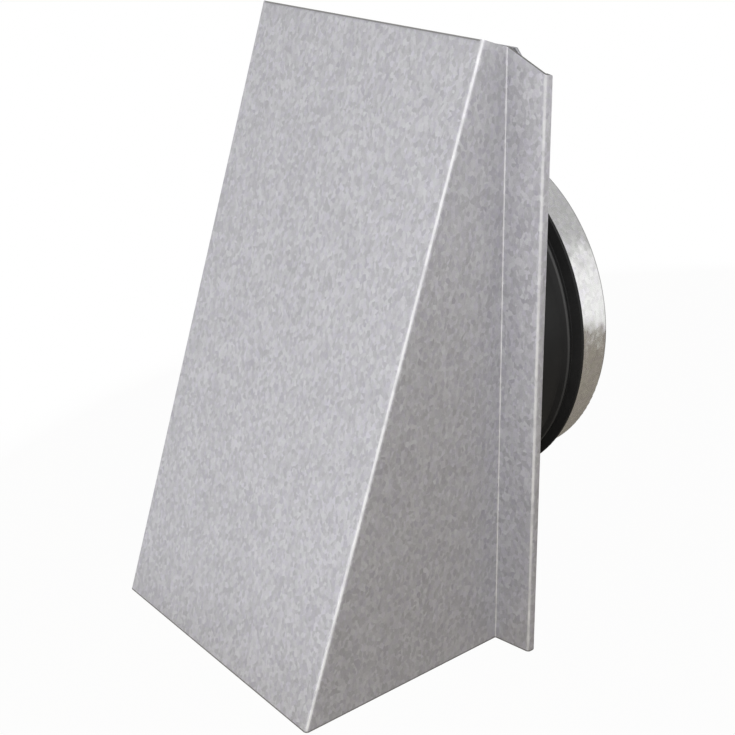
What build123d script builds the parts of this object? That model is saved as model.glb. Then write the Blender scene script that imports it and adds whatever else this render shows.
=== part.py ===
from build123d import *
from math import atan2, cos, degrees, radians, sin, tan
import os

# Frame: origin on the spigot axis in the wall plane, +X right, +Y into the wall, +Z up. Millimetres.

# Hood, over its outer faces
hood_width = 118.0
hood_height = 220.0
hood_depth_bottom = 87.0
hood_depth_top = 10.0
axis_height = 107.0
hood_sheet = 0.8
bend_inside = 0.6

# Side flanges, hems and the tab behind the top panel
flange_lean = radians(10.2)
flange_reach = 13.5
flange_drop = 6.7
hem_depth = 3.8
hem_leg = 8.0
top_tab = 8.0

# Back plate
plate_sheet = 1.0
plate_rise = 0.7
hem_clearance = 0.2
corner_cut = 15.0
hole_clearance = 0.1

# Spigot
spigot_radius = 62.2
spigot_sheet = 0.6
spigot_end = 43.3
spigot_ring = 4.0
fold_length = 13.3

# Seal: a sleeve with two ridged lips that stand proud of the spigot
tail_thickness = 0.8
tail_length = 8.0
sleeve_thickness = 1.6
sleeve_lead = 12.2
lip_setback = 3.6
lip_pitch = 4.9
front_lip_proud = 1.6
rear_lip_proud = 3.8
lip_tip_thickness = 1.0
lip_ramp = 1.6

# Raw sheet and cutting shapes run past the finished edges by this much
overrun = 20.0

# Fits that follow from the sizes above
bend_outside = bend_inside + hood_sheet
half_width = hood_width / 2
bottom = -axis_height
top = bottom + hood_height
plate_back = -hood_sheet
plate_front = plate_back - plate_sheet
hem_start_x = half_width + flange_reach
hem_x = hem_start_x - bend_outside * sin(flange_lean)
hem_start_y = bend_outside - hem_depth - bend_outside * cos(flange_lean)
fold_y = hem_start_y - flange_reach * tan(flange_lean)
slope = atan2(hood_depth_bottom - hood_depth_top, hood_height)
fold_turn = radians(90) - flange_lean
side_end = fold_y - bend_inside * tan(fold_turn / 2)
bore_radius = spigot_radius - 2 * spigot_sheet - tail_thickness
tube_outside = bore_radius + spigot_sheet
sleeve_outside = tube_outside + sleeve_thickness
fold_edge = spigot_end - fold_length


def top_height(y):
    """Height of the top panel's outer face at the depth y."""
    return top - (y - fold_y + hood_depth_top) * tan(slope)


def sheet_section(edges, thickness, side):
    """Face of a bent sheet: one surface drawn as edges, the other offset from it."""
    return make_face(Wire(edges).offset_2d(thickness, side=side))


def build_front_and_sides():
    """Front panel with both side panels, cut to the outline of the side."""
    along = Vector(0, sin(slope), cos(slope))
    front_foot = Vector(0, fold_y - hood_depth_bottom, bottom)
    across = Plane(origin=front_foot - along * overrun, x_dir=(1, 0, 0), z_dir=along)
    leg = hood_depth_bottom + overrun
    length = hood_height / cos(slope) + 2 * overrun
    channel = FilletPolyline(
        (-half_width, leg),
        (-half_width, 0),
        (half_width, 0),
        (half_width, leg),
        radius=bend_outside,
    )
    section = sheet_section(channel.edges(), hood_sheet, Side.LEFT)
    shell = extrude(across * section, amount=length, dir=along)
    outline = Polyline(
        (fold_y - hood_depth_bottom, bottom),
        (fold_y - hood_depth_top, top),
        (side_end, top_height(side_end)),
        (side_end, bottom),
        close=True,
    )
    shell &= extrude(Plane.YZ * make_face(outline), amount=half_width, both=True)
    bend_line = Vector(0, fold_y - hood_depth_top, top) - along * bend_outside
    above_bend = Plane(origin=bend_line, x_dir=(1, 0, 0), z_dir=along)
    notch = Box(
        hood_width - 2 * bend_outside,
        overrun,
        overrun,
        align=(Align.CENTER, Align.CENTER, Align.MIN),
    )
    return shell - above_bend * notch


def build_top_panel():
    """Top panel folded back from the front, with the tab that lies on the back plate."""
    incline = degrees(slope)
    along = Vector(sin(slope), cos(slope))
    outward = Vector(-cos(slope), sin(slope))
    corner = Vector(fold_y - hood_depth_top, top)
    front_centre = corner - (along + outward) * bend_outside
    rear_y = plate_front - bend_outside
    rear_centre = Vector(rear_y, front_centre.Y - (rear_y - front_centre.X) * tan(slope))
    tab_foot = Vector(plate_front, rear_centre.Y - top_tab)
    edges = [
        CenterArc(front_centre, bend_outside, 180 - incline, -90),
        Line(front_centre + along * bend_outside, rear_centre + along * bend_outside),
        CenterArc(rear_centre, bend_outside, 90 - incline, incline - 90),
        Line(rear_centre + Vector(bend_outside, 0), tab_foot),
    ]
    section = sheet_section(edges, hood_sheet, Side.RIGHT)
    return extrude(Plane.YZ * section, amount=half_width - bend_outside, both=True)


def build_flange():
    """Right wall flange: the fold from the side panel, the leaning web and the square hem."""
    lean = degrees(flange_lean)
    fold_centre = Vector(half_width + bend_inside, side_end)
    web_start = fold_centre + Vector(-sin(flange_lean), cos(flange_lean)) * bend_inside
    front_centre = Vector(hem_x, bend_outside - hem_depth)
    rear_centre = Vector(hem_x, -bend_outside)
    outward = Vector(bend_outside, 0)
    edges = [
        CenterArc(fold_centre, bend_inside, 180, lean - 90),
        Line(web_start, Vector(hem_start_x, hem_start_y)),
        CenterArc(front_centre, bend_outside, lean - 90, 90 - lean),
        Line(front_centre + outward, rear_centre + outward),
        CenterArc(rear_centre, bend_outside, 0, 90),
        Line((hem_x, 0), (hem_x - hem_leg, 0)),
    ]
    section = sheet_section(edges, hood_sheet, Side.LEFT)
    strip = extrude(Plane.XY.offset(bottom) * section, amount=hood_height)
    side_top = top_height(side_end)
    cut_slope = flange_drop / flange_reach
    outer_x = half_width + overrun
    web_outline = Polyline(
        (0, bottom),
        (outer_x, bottom),
        (outer_x, side_top - overrun * cut_slope),
        (half_width, side_top),
        (0, side_top),
        close=True,
    )
    strip &= extrude(Plane.XZ * make_face(web_outline), amount=overrun, both=True)
    # The blank's straight cut runs on round the hem, so it falls towards the wall there
    hem_top = side_top - (hem_x + bend_inside - half_width) * cut_slope
    hem_outline = Polyline(
        (-overrun, bottom),
        (overrun, bottom),
        (overrun, hem_top - (overrun - front_centre.Y) * cut_slope),
        (front_centre.Y, hem_top),
        (front_centre.Y, side_top),
        (-overrun, side_top),
        close=True,
    )
    return strip & extrude(Plane.YZ * make_face(hem_outline), amount=outer_x, both=True)


def build_hood():
    """Hood folded from one sheet."""
    flange = build_flange()
    return build_front_and_sides() + build_top_panel() + flange + mirror(flange, Plane.YZ)


def build_back_plate():
    """Back plate between the hems, with its top corners cut and a hole for the spigot."""
    edge_x = hem_x - hem_clearance
    shoulder_x = half_width - hood_sheet
    plate_top = top_height(plate_front) + plate_rise
    outline = Polyline(
        (-edge_x, bottom),
        (edge_x, bottom),
        (edge_x, plate_top - corner_cut),
        (shoulder_x, plate_top),
        (-shoulder_x, plate_top),
        (-edge_x, plate_top - corner_cut),
        close=True,
    )
    hole = Circle(tube_outside + hole_clearance)
    face = make_face(outline) - hole
    return extrude(Plane.XZ.offset(-plate_back) * face, amount=plate_sheet)


def build_spigot():
    """Tube with the ring at its root and its free end folded back over the tail of the seal."""
    fold_radius = (spigot_radius - bore_radius) / 2
    fold_start = spigot_end - fold_radius
    gap_outside = spigot_radius - spigot_sheet
    gap_end = spigot_end - spigot_sheet
    ring_outside = tube_outside + spigot_ring
    ring_front = plate_front - spigot_sheet
    bore = Line((bore_radius, ring_front), (bore_radius, fold_start))
    fold = CenterArc((bore_radius + fold_radius, fold_start), fold_radius, 180, -180)
    outside = Polyline(
        (spigot_radius, fold_start),
        (spigot_radius, fold_edge),
        (gap_outside, fold_edge),
        (gap_outside, gap_end),
        (tube_outside, gap_end),
        (tube_outside, plate_front),
        (ring_outside, plate_front),
        (ring_outside, ring_front),
        (bore_radius, ring_front),
    )
    return revolve(make_face([bore, fold, outside]), Axis.Y)


def lip_points(proud, tip_y):
    """Corners of a ridged lip, from the root on the hood's side to the far edge of its tip."""
    tip_radius = spigot_radius + proud
    return [
        (sleeve_outside, tip_y - lip_ramp),
        (tip_radius, tip_y),
        (tip_radius, tip_y + lip_tip_thickness),
    ]


def build_seal():
    """Rubber ring with two lips, its tail under the spigot's folded end."""
    rear_tip = fold_edge - lip_setback
    front_tip = rear_tip - lip_pitch
    sleeve_start = front_tip - sleeve_lead
    tail_outside = tube_outside + tail_thickness
    tail_end = fold_edge + tail_length
    outline = Polyline(
        (tube_outside, sleeve_start),
        (sleeve_outside, sleeve_start),
        *lip_points(front_lip_proud, front_tip),
        *lip_points(rear_lip_proud, rear_tip),
        (sleeve_outside, fold_edge),
        (tail_outside, fold_edge),
        (tail_outside, tail_end),
        (tube_outside, tail_end),
        close=True,
    )
    return revolve(make_face(outline), Axis.Y)


os.makedirs("parts", exist_ok=True)
export_step(build_hood(), "parts/hood.step")
export_step(build_back_plate(), "parts/back_plate.step")
export_step(build_spigot(), "parts/spigot.step")
export_step(build_seal(), "parts/seal.step")
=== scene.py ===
import math
import bpy
from mathutils import Matrix, Vector


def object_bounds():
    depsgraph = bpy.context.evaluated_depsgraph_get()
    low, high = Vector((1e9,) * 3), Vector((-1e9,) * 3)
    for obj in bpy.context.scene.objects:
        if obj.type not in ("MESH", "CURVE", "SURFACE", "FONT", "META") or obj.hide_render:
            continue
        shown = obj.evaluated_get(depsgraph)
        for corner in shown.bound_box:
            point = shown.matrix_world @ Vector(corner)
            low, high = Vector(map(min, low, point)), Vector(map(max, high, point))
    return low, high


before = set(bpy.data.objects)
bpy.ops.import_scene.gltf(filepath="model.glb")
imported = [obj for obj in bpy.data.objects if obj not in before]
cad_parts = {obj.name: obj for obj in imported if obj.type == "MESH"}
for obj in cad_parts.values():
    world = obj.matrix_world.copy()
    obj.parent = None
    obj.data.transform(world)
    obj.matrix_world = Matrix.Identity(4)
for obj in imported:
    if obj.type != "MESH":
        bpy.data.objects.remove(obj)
cad_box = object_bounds()

# Viewpoint of the photograph: a square image, its focal length in its own pixels, the camera in metres
IMAGE_PX = 735
FOCAL_PX = 1362.0
SENSOR_MM = 36.0
AZIMUTH = math.radians(51.95)
ELEVATION = math.radians(23.27)
ROLL = math.radians(1.27)
CAMERA_PLACE = Vector((0.36523, -0.30326, 0.18548))
CLIP_START = 0.01

# Galvanised sheet: crystals of zinc, a little longer along the rolling direction than across it
CRYSTAL_WIDTH = 0.0012
CRYSTAL_STRETCH = 1.45
CRYSTAL_WARP = 0.0009
CLOUD_SIZE = 0.012
CLOUD_SHADE = (-0.12, 0.12)
GRAIN_SIZE = 0.0004
GRAIN_SHADE = (-0.2, 0.2)
GRAIN_DEPTH = 0.00003
GRAIN_BUMP = 0.15
SHADE_SPAN = (-0.2, 1.2)
LAVENDER = (0.98, 0.96, 1.06)
GREENISH = (0.98, 1.02, 0.98)
TINT_SHARE = 0.5
GLOSS_SPREAD = 0.05

# Zinc of each piece: darkest and lightest crystal, roughness, tilt of crystals, metallic share, waviness
HOOD_ZINC = ((0.425, 0.42, 0.445), (0.62, 0.615, 0.645), 0.45, 0.06, 0.5, 0.0)
# The back plate's zinc is darker than the hood's: painted shade for the narrow gap behind the hood where
# it sits
SHADED_PLATE_ZINC = ((0.31, 0.305, 0.325), (0.44, 0.435, 0.455), 0.45, 0.06, 0.5, 0.0)
SPIGOT_ZINC = ((0.73, 0.725, 0.72), (0.91, 0.905, 0.9), 0.25, 0.04, 1.0, 0.3)

# Length of the waves in a rolled sheet
WAVE_SIZE = 0.006

# Painted highlight along the bends, in patches, stronger at the foot than at the top
BEND_HIGHLIGHT = (0.88, 0.88, 0.88)
BEND_HIGHLIGHT_SHARE = 0.65
BEND_HIGHLIGHT_PATCH = 0.006
HIGHLIGHT_AT_FOOT = 1.6
HIGHLIGHT_AT_TOP = 0.65

# Ranges of the normal's sideways part where a bend leaves the panel and where it reaches the side,
# and of its part towards the wall
LEAVES_PANEL = (0.35, 0.55)
REACHES_SIDE = (0.8, 0.93)
FACES_FORWARD = (-0.05, -0.2)

# Cut edges of the blank, and a strip that fades out between two heights above the feet, are painted dark:
# bare steel and painted shade; the ranges are of the normal
BARE_STEEL_AND_SHADE = (0.2, 0.195, 0.19)
SHEAR_FROM = 0.0003
SHEAR_TO = 0.0006
FACES_DOWN = (-0.2, -0.45)
FACES_AHEAD = (0.95, 0.99)
FACES_UP = (0.6, 0.8)
SLANTS_SIDEWAYS = (0.2, 0.35)
SLANTS_BACK = (0.36, 0.4)

# Painted shade on the bend between the front and the top panel
TOP_BEND_SHADE = (0.26, 0.255, 0.25)
BEND_UP = (0.72, 0.85)
BEND_BACK = (0.24, 0.3)

# The rim of the spigot's folded end is painted dark, as painted shade: it begins to be and is so wholly at
# these depths from its end
SPIGOT_RIM_SHADE = (0.34, 0.335, 0.33)
END_FROM = 0.0011
END_TO = 0.0008

# Rubber, with a painted highlight on the rim of the front lip that is stronger near the top
RUBBER_DARK = (0.016, 0.016, 0.016)
RUBBER_LIGHT = (0.021, 0.021, 0.021)
RUBBER_GLOSS = (0.34, 0.46)
RUBBER_SPECULAR = 0.14
PORE_SIZE = 0.0006
PORE_DEPTH = 0.00005
PORE_BUMP = 0.25
FRONT_RIM = 0.0220
RIM_HIGHLIGHT = (0.085, 0.085, 0.085)
RIM_HALF_WIDTH = (0.0003, 0.0007)
RIM_HEIGHT = (-0.03, 0.04)
RIM_SHARE = (0.35, 1.0)

# Softened edges of the solids
SHEET_EDGE = 0.0002
RUBBER_EDGE = 0.00035
WELD_DISTANCE = 1e-6
EDGE_ANGLE = math.radians(35)
EDGE_SEGMENTS = 2
NORMAL_WEIGHT = 100

# Stage: the floor's paint and the hood's shadow show about one place, faintly to the camera,
# and the floor is plain white away from it
FLOOR_RADIUS = 6.0
FLOOR_SIDES = 64
FLOOR_PAINT = (0.35, 0.318, 0.27, 1.0)
SHADOW_PLACE = (0.19, 0.11, 0.0)
WHITE_SPAN = (0.18, 0.46)
WHITE_NEAR = 0.97

# World: white to the camera and in low reflections, and a softer fill for the rest
WHITE = (1.0, 1.0, 1.0, 1.0)
FILL = 0.52
LOW_SPAN = (0.25, 0.58)

# Softboxes: place, point they face, width, height, watts
SOFTBOXES = {
    "key": ((0.5, -0.46, 0.62), (0.03, -0.02, 0), 1.1, 1.1, 5.0),
    "front": ((-0.35, -1.0, 0.15), (0, -0.05, -0.05), 0.8, 0.8, 0.85),
    "low": ((0.035, -0.3, -0.07), (0.03, -0.09, -0.09), 0.1, 0.06, 0.048),
    "side": ((0.36, -0.03, 0.42), (0.06, -0.01, 0.06), 0.2, 0.2, 0.45),
}

# Ranges of a noise texture that are spread out to full contrast
NOISE_SPAN = (0.3, 0.7)
BLOOM_SPAN = (0.35, 0.7)
PATCH_SPAN = (0.35, 0.6)

# Middle of a random colour, and plain ranges from nought to one
MIDDLE = (0.5, 0.5, 0.5)
UPPER_HALF = (0.5, 1.0)
LOWER_HALF = (0.5, 0.0)
RISING = (0.0, 1.0)
FALLING = (1.0, 0.0)


def add_node(tree, kind, settings=None, **inputs):
    """Shader node with its properties and unlinked input values set."""
    made = tree.nodes.new(kind)
    for key, value in (settings or {}).items():
        setattr(made, key, value)
    for key, value in inputs.items():
        made.inputs[key.replace("_", " ")].default_value = value
    return made


def math_node(tree, operation, first, second):
    """Math node; each operand is a socket or a number."""
    made = add_node(tree, "ShaderNodeMath", {"operation": operation})
    for socket, value in zip(made.inputs, (first, second)):
        if isinstance(value, (int, float)):
            socket.default_value = value
        else:
            tree.links.new(value, socket)
    return made.outputs[0]


def product(tree, *values):
    """Product of sockets."""
    result = values[0]
    for value in values[1:]:
        result = math_node(tree, "MULTIPLY", result, value)
    return result


def magnitude(tree, value):
    """A number without its sign."""
    return math_node(tree, "ABSOLUTE", value, 0.0)


def vector_node(tree, operation, first, second):
    """Vector math node; each operand is a socket or a vector."""
    made = add_node(tree, "ShaderNodeVectorMath", {"operation": operation})
    for socket, value in zip(made.inputs, (first, second)):
        if isinstance(value, tuple):
            socket.default_value = value
        else:
            tree.links.new(value, socket)
    return made.outputs[0]


def scaled(tree, vector, factor):
    """A vector times one number."""
    return vector_node(tree, "MULTIPLY", vector, (factor, factor, factor))


def split(tree, vector):
    """The X, Y and Z sockets of a vector."""
    parts = add_node(tree, "ShaderNodeSeparateXYZ")
    tree.links.new(vector, parts.inputs[0])
    return parts.outputs


def remap(tree, value, span, to=RISING, smooth=False):
    """A value brought from one range into another, and held inside it."""
    made = add_node(
        tree,
        "ShaderNodeMapRange",
        {"interpolation_type": "SMOOTHSTEP" if smooth else "LINEAR"},
        From_Min=span[0],
        From_Max=span[1],
        To_Min=to[0],
        To_Max=to[1],
    )
    tree.links.new(value, made.inputs["Value"])
    return made.outputs["Result"]


def mix_colour(tree, factor, first, second, blend="MIX"):
    """Colour mix by a socket; each colour is a socket or a tuple."""
    made = add_node(tree, "ShaderNodeMix", {"data_type": "RGBA", "blend_type": blend})
    tree.links.new(factor, made.inputs[0])
    for socket, value in zip((made.inputs[6], made.inputs[7]), (first, second)):
        if isinstance(value, tuple):
            socket.default_value = (*value, 1.0)
        else:
            tree.links.new(value, socket)
    return made.outputs[2]


def noise(tree, vector, size, detail):
    """Noise whose features are about the given size in metres."""
    made = add_node(tree, "ShaderNodeTexNoise", Scale=1 / size, Detail=detail)
    tree.links.new(vector, made.inputs["Vector"])
    return made


def bump_node(tree, height, strength, depth):
    """Bump from a height socket; its normal input is left to the caller."""
    made = add_node(tree, "ShaderNodeBump", Strength=strength, Distance=depth)
    tree.links.new(height, made.inputs["Height"])
    return made


def new_material(name):
    """Empty material with a Principled shader: the material, its tree and the shader."""
    material = bpy.data.materials.new(name)
    material.use_nodes = True
    tree = material.node_tree
    tree.nodes.clear()
    shader = add_node(tree, "ShaderNodeBsdfPrincipled")
    output = add_node(tree, "ShaderNodeOutputMaterial")
    tree.links.new(shader.outputs[0], output.inputs["Surface"])
    return material, tree, shader


def bend_highlight_mask(tree, normal):
    """One on the outside bends beside the front and flange panels, where a highlight is painted."""
    parts = split(tree, normal)
    sideways = magnitude(tree, parts["X"])
    past_panel = remap(tree, sideways, LEAVES_PANEL, smooth=True)
    before_side = remap(tree, sideways, REACHES_SIDE, FALLING, smooth=True)
    return product(tree, past_panel, before_side, remap(tree, parts["Y"], FACES_FORWARD))


def cut_edge_shade_mask(tree, normal):
    """One on the narrow faces where the blank was cut: feet, and slanting tops of flanges and hems,
    painted dark as bare steel and painted shade.
    """
    parts = split(tree, normal)
    not_ahead = remap(tree, magnitude(tree, parts["Y"]), FACES_AHEAD, FALLING)
    foot = product(tree, remap(tree, parts["Z"], FACES_DOWN), not_ahead)
    aside = remap(tree, magnitude(tree, parts["X"]), SLANTS_SIDEWAYS)
    slanted = math_node(tree, "MAXIMUM", aside, remap(tree, parts["Y"], SLANTS_BACK))
    top = product(tree, remap(tree, parts["Z"], FACES_UP), slanted)
    return math_node(tree, "MAXIMUM", foot, top)


def top_bend_shade_mask(tree, normal):
    """One on the bend between the front and the top panel, where shade is painted."""
    parts = split(tree, normal)
    return product(tree, remap(tree, parts["Z"], BEND_UP), remap(tree, parts["Y"], BEND_BACK, FALLING))


def hood_marks(tree, place, normal, colour):
    """Painted highlights on the bends, painted shade on the top bend, and bare steel with painted shade on
    the cut edges and along the feet.
    """
    # Painted highlight on the bends, in patches, stronger at the foot than at the top
    patches = noise(tree, place, BEND_HIGHLIGHT_PATCH, detail=3.0).outputs["Fac"]
    highlight_patches = remap(tree, patches, PATCH_SPAN, (0.5 * BEND_HIGHLIGHT_SHARE, BEND_HIGHLIGHT_SHARE))
    height = split(tree, place)["Z"]
    foot, crown = cad_box[0].z, cad_box[1].z
    highlight_by_height = remap(tree, height, (foot, crown), (HIGHLIGHT_AT_FOOT, HIGHLIGHT_AT_TOP))
    bend_highlight = product(tree, bend_highlight_mask(tree, normal), highlight_patches, highlight_by_height)
    colour = mix_colour(tree, bend_highlight, colour, BEND_HIGHLIGHT)
    # Painted shade on the top bend
    colour = mix_colour(tree, top_bend_shade_mask(tree, normal), colour, TOP_BEND_SHADE)
    # Bare steel and painted shade on the cut edges and in a strip along the feet
    foot_strip = remap(tree, height, (foot + SHEAR_TO, foot + SHEAR_FROM))
    bare_and_shade = math_node(tree, "MAXIMUM", cut_edge_shade_mask(tree, normal), foot_strip)
    return mix_colour(tree, bare_and_shade, colour, BARE_STEEL_AND_SHADE)


def spigot_marks(tree, place, normal, colour):
    """Painted shade on the rim of the spigot's folded end."""
    far_end = cad_box[1].y
    # Painted shade along the rim of the folded end
    end = remap(tree, split(tree, place)["Y"], (far_end - END_FROM, far_end - END_TO))
    return mix_colour(tree, end, colour, SPIGOT_RIM_SHADE)


def galvanised(name, zinc, marks=None):
    """Hot-dip zinc: crystals that differ in shade, tint, gloss and tilt, on a sheet that may be wavy."""
    dark, light, roughness, facet_tilt, metal, waviness = zinc
    material, tree, shader = new_material(name)
    place = add_node(tree, "ShaderNodeTexCoord").outputs["Object"]
    normal = add_node(tree, "ShaderNodeNewGeometry").outputs["Normal"]
    wobble = noise(tree, place, 2 * CRYSTAL_WIDTH, detail=2.0).outputs["Color"]
    warp = scaled(tree, vector_node(tree, "SUBTRACT", wobble, MIDDLE), CRYSTAL_WARP)
    warped = vector_node(tree, "ADD", place, warp)
    stretched = vector_node(tree, "MULTIPLY", warped, (1.0, 1.0, 1.0 / CRYSTAL_STRETCH))
    crystals = add_node(tree, "ShaderNodeTexVoronoi", Scale=1 / CRYSTAL_WIDTH)
    tree.links.new(stretched, crystals.inputs["Vector"])
    random = add_node(tree, "ShaderNodeSeparateColor")
    tree.links.new(crystals.outputs["Color"], random.inputs[0])
    clouds = noise(tree, place, CLOUD_SIZE, detail=3.0).outputs["Fac"]
    grain = noise(tree, place, GRAIN_SIZE, detail=2.0).outputs["Fac"]

    shade = math_node(tree, "ADD", random.outputs[0], remap(tree, clouds, NOISE_SPAN, CLOUD_SHADE))
    shade = math_node(tree, "ADD", shade, remap(tree, grain, NOISE_SPAN, GRAIN_SHADE))
    colour = mix_colour(tree, remap(tree, shade, SHADE_SPAN), dark, light)
    for tint, span in ((LAVENDER, UPPER_HALF), (GREENISH, LOWER_HALF)):
        share = remap(tree, random.outputs[1], span, (0.0, TINT_SHARE))
        colour = mix_colour(tree, share, colour, tint, "MULTIPLY")
    if marks:
        colour = marks(tree, place, normal, colour)
    tree.links.new(colour, shader.inputs["Base Color"])

    gloss = remap(tree, random.outputs[2], RISING, (roughness - GLOSS_SPREAD, roughness + GLOSS_SPREAD))
    tree.links.new(gloss, shader.inputs["Roughness"])
    tilt = vector_node(tree, "SUBTRACT", crystals.outputs["Color"], MIDDLE)
    tilted = vector_node(tree, "ADD", normal, scaled(tree, tilt, facet_tilt))
    if waviness:
        waves = noise(tree, place, WAVE_SIZE, detail=1.0).outputs["Color"]
        waves = scaled(tree, vector_node(tree, "SUBTRACT", waves, MIDDLE), waviness)
        tilted = vector_node(tree, "ADD", tilted, waves)
    facets = add_node(tree, "ShaderNodeVectorMath", {"operation": "NORMALIZE"})
    tree.links.new(tilted, facets.inputs[0])
    bump = bump_node(tree, grain, GRAIN_BUMP, GRAIN_DEPTH)
    tree.links.new(facets.outputs[0], bump.inputs["Normal"])
    tree.links.new(bump.outputs[0], shader.inputs["Normal"])
    shader.inputs["Metallic"].default_value = metal
    return material


def rubber(name):
    """Moulded black rubber with a faint bloom, fine pores and a painted highlight on the front lip's rim.
    """
    material, tree, shader = new_material(name)
    place = add_node(tree, "ShaderNodeTexCoord").outputs["Object"]
    bloom = noise(tree, place, CLOUD_SIZE, detail=4.0).outputs["Fac"]
    pores = noise(tree, place, PORE_SIZE, detail=3.0).outputs["Fac"]
    colour = mix_colour(tree, remap(tree, bloom, BLOOM_SPAN), RUBBER_DARK, RUBBER_LIGHT)
    parts = split(tree, place)
    off_rim = magnitude(tree, math_node(tree, "SUBTRACT", parts["Y"], FRONT_RIM))
    rim = remap(tree, off_rim, RIM_HALF_WIDTH, FALLING, smooth=True)
    # Painted highlight on the front lip's rim, stronger near the top
    rim_highlight = product(tree, rim, remap(tree, parts["Z"], RIM_HEIGHT, RIM_SHARE))
    colour = mix_colour(tree, rim_highlight, colour, RIM_HIGHLIGHT)
    tree.links.new(colour, shader.inputs["Base Color"])
    tree.links.new(remap(tree, pores, NOISE_SPAN, RUBBER_GLOSS), shader.inputs["Roughness"])
    shader.inputs["Specular IOR Level"].default_value = RUBBER_SPECULAR
    bump = bump_node(tree, pores, PORE_BUMP, PORE_DEPTH)
    tree.links.new(bump.outputs[0], shader.inputs["Normal"])
    return material


def dress(node, material, edge):
    """Gives a solid its finish and takes the razor sharpness off its edges."""
    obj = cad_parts[node]
    obj.material_slots[0].material = material
    weld = obj.modifiers.new("weld", "WELD")
    weld.merge_threshold = WELD_DISTANCE
    soften = obj.modifiers.new("soften", "BEVEL")
    soften.width = edge
    soften.segments = EDGE_SEGMENTS
    soften.limit_method = "ANGLE"
    soften.angle_limit = EDGE_ANGLE
    soften.use_clamp_overlap = True
    soften.harden_normals = False
    smooth = obj.modifiers.new("normals", "WEIGHTED_NORMAL")
    smooth.keep_sharp = False
    smooth.weight = NORMAL_WEIGHT


def seen_directly(tree, path):
    """One for the rays that show the background: camera, glossy and transmission rays."""
    shown = math_node(tree, "MAXIMUM", path.outputs["Is Camera Ray"], path.outputs["Is Glossy Ray"])
    return math_node(tree, "MAXIMUM", shown, path.outputs["Is Transmission Ray"])


def blend_shaders(tree, output, factor, first, second):
    """Shows the second shader by the factor, and the first one otherwise."""
    blend = add_node(tree, "ShaderNodeMixShader")
    tree.links.new(factor, blend.inputs[0])
    tree.links.new(first.outputs[0], blend.inputs[1])
    tree.links.new(second.outputs[0], blend.inputs[2])
    tree.links.new(blend.outputs[0], output.inputs["Surface"])


def make_floor():
    """Pale round floor that keeps the hood's shadow and turns plain white away from it."""
    material = bpy.data.materials.new("floor")
    material.use_nodes = True
    tree = material.node_tree
    tree.nodes.clear()
    output = add_node(tree, "ShaderNodeOutputMaterial")
    paint = add_node(tree, "ShaderNodeBsdfDiffuse", Color=FLOOR_PAINT)
    white = add_node(tree, "ShaderNodeEmission", Strength=1.0)
    place = add_node(tree, "ShaderNodeTexCoord").outputs["Object"]
    length = add_node(tree, "ShaderNodeVectorMath", {"operation": "LENGTH"})
    tree.links.new(vector_node(tree, "SUBTRACT", place, SHADOW_PLACE), length.inputs[0])
    away = remap(tree, length.outputs["Value"], WHITE_SPAN, smooth=True)
    path = add_node(tree, "ShaderNodeLightPath")
    near = math_node(tree, "MULTIPLY", path.outputs["Is Camera Ray"], WHITE_NEAR)
    shown = math_node(tree, "MAXIMUM", product(tree, away, seen_directly(tree, path)), near)
    blend_shaders(tree, output, shown, paint, white)

    bpy.ops.mesh.primitive_circle_add(vertices=FLOOR_SIDES, radius=FLOOR_RADIUS, fill_type="NGON")
    floor = bpy.context.object
    floor.name = "floor"
    floor.location.z = cad_box[0].z
    floor.data.materials.append(material)


def make_world():
    """White to look at and for low reflections, and a softer fill elsewhere."""
    world = bpy.data.worlds.new("studio")
    bpy.context.scene.world = world
    world.use_nodes = True
    tree = world.node_tree
    tree.nodes.clear()
    output = add_node(tree, "ShaderNodeOutputWorld")
    fill = add_node(tree, "ShaderNodeBackground", Color=WHITE, Strength=FILL)
    white = add_node(tree, "ShaderNodeBackground", Color=WHITE, Strength=1.0)
    direction = split(tree, add_node(tree, "ShaderNodeTexCoord").outputs["Generated"])
    low = remap(tree, direction["Z"], LOW_SPAN, FALLING, smooth=True)
    path = add_node(tree, "ShaderNodeLightPath")
    walls = product(tree, seen_directly(tree, path), low)
    shown = math_node(tree, "MAXIMUM", walls, path.outputs["Is Camera Ray"])
    blend_shaders(tree, output, shown, fill, white)


def add_softbox(name, place, aim, width, height, watts):
    """Rectangular soft white light at a place, turned to a point."""
    light = bpy.data.lights.new(name, "AREA")
    light.shape = "RECTANGLE"
    light.size = width
    light.size_y = height
    light.energy = watts
    lamp = bpy.data.objects.new(name, light)
    bpy.context.scene.collection.objects.link(lamp)
    lamp.location = place
    lamp.rotation_euler = (Vector(aim) - Vector(place)).to_track_quat("-Z", "Y").to_euler()


def make_camera():
    """Camera at the photograph's viewpoint."""
    back = Vector((
        math.sin(AZIMUTH) * math.cos(ELEVATION),
        -math.cos(AZIMUTH) * math.cos(ELEVATION),
        math.sin(ELEVATION),
    ))
    right = (-back).cross(Vector((0, 0, 1))).normalized()
    up = right.cross(-back)
    turned_right = right * math.cos(ROLL) - up * math.sin(ROLL)
    turned_up = right * math.sin(ROLL) + up * math.cos(ROLL)
    data = bpy.data.cameras.new("camera")
    data.sensor_width = SENSOR_MM
    data.lens = FOCAL_PX * SENSOR_MM / IMAGE_PX
    data.clip_start = CLIP_START
    camera = bpy.data.objects.new("camera", data)
    bpy.context.scene.collection.objects.link(camera)
    turn = Matrix((turned_right, turned_up, back)).transposed()
    camera.matrix_world = Matrix.Translation(CAMERA_PLACE) @ turn.to_4x4()
    bpy.context.scene.camera = camera


dress("hood", galvanised("hood_zinc", HOOD_ZINC, hood_marks), SHEET_EDGE)
dress("back_plate", galvanised("shaded_plate_zinc", SHADED_PLATE_ZINC), SHEET_EDGE)
dress("spigot", galvanised("spigot_zinc", SPIGOT_ZINC, spigot_marks), SHEET_EDGE)
dress("seal", rubber("seal_rubber_look"), RUBBER_EDGE)

make_floor()
make_world()
for box_name, box_values in SOFTBOXES.items():
    add_softbox(box_name, *box_values)
make_camera()
bpy.context.scene.view_settings.view_transform = "Standard"
